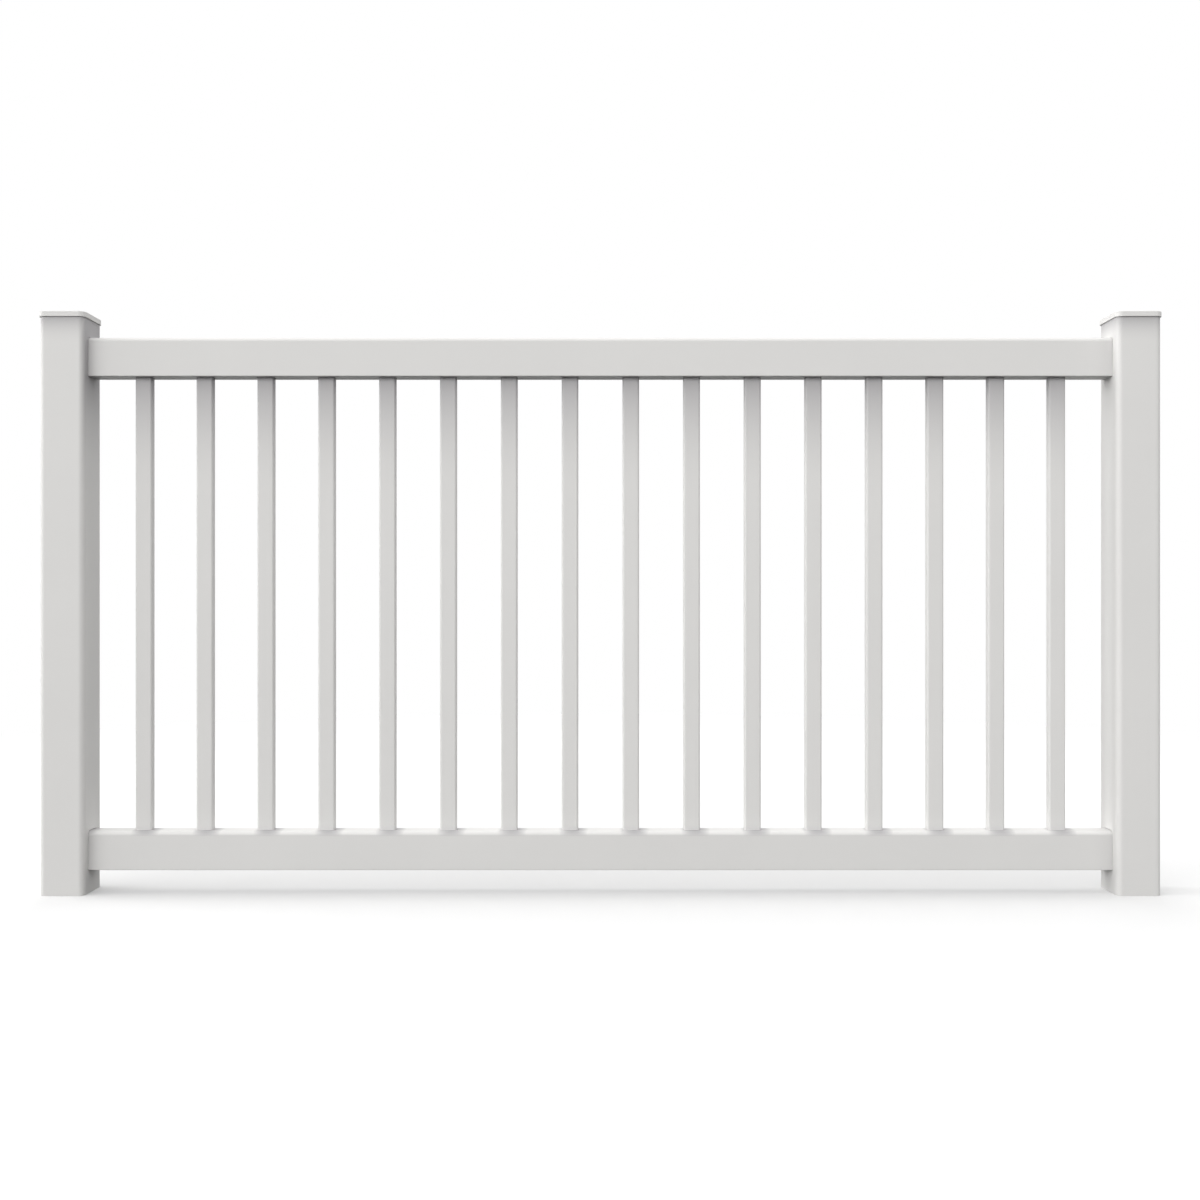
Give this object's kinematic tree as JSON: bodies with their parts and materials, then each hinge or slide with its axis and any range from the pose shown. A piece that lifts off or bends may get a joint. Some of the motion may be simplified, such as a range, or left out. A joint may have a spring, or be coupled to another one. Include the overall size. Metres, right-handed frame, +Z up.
{
  "type": "vinyl fence panel",
  "caption": "Straight bay of white vinyl picket fence: square capped posts, rectangular rails routed into them and slim pickets standing between the rails.",
  "frame": {"origin": "centre of the left post's foot, at ground level", "axes": "+X along the fence from the left post to the right post, +Y square to the fence and away from the viewer, +Z up"},
  "size_m": [2.546, 0.1076, 1.323],
  "materials": {
    "white_vinyl": "satin extruded vinyl, white"
  },
  "bodies": {
    "root": {"left_post": "white_vinyl", "left_post_cap": "white_vinyl", "right_post": "white_vinyl", "right_post_cap": "white_vinyl", "bottom_rail": "white_vinyl", "top_rail": "white_vinyl", "picket_01": "white_vinyl", "picket_02": "white_vinyl", "picket_03": "white_vinyl", "picket_04": "white_vinyl", "picket_05": "white_vinyl", "picket_06": "white_vinyl", "picket_07": "white_vinyl", "picket_08": "white_vinyl", "picket_09": "white_vinyl", "picket_10": "white_vinyl", "picket_11": "white_vinyl", "picket_12": "white_vinyl", "picket_13": "white_vinyl", "picket_14": "white_vinyl", "picket_15": "white_vinyl", "picket_16": "white_vinyl"}
  },
  "joints": []
}
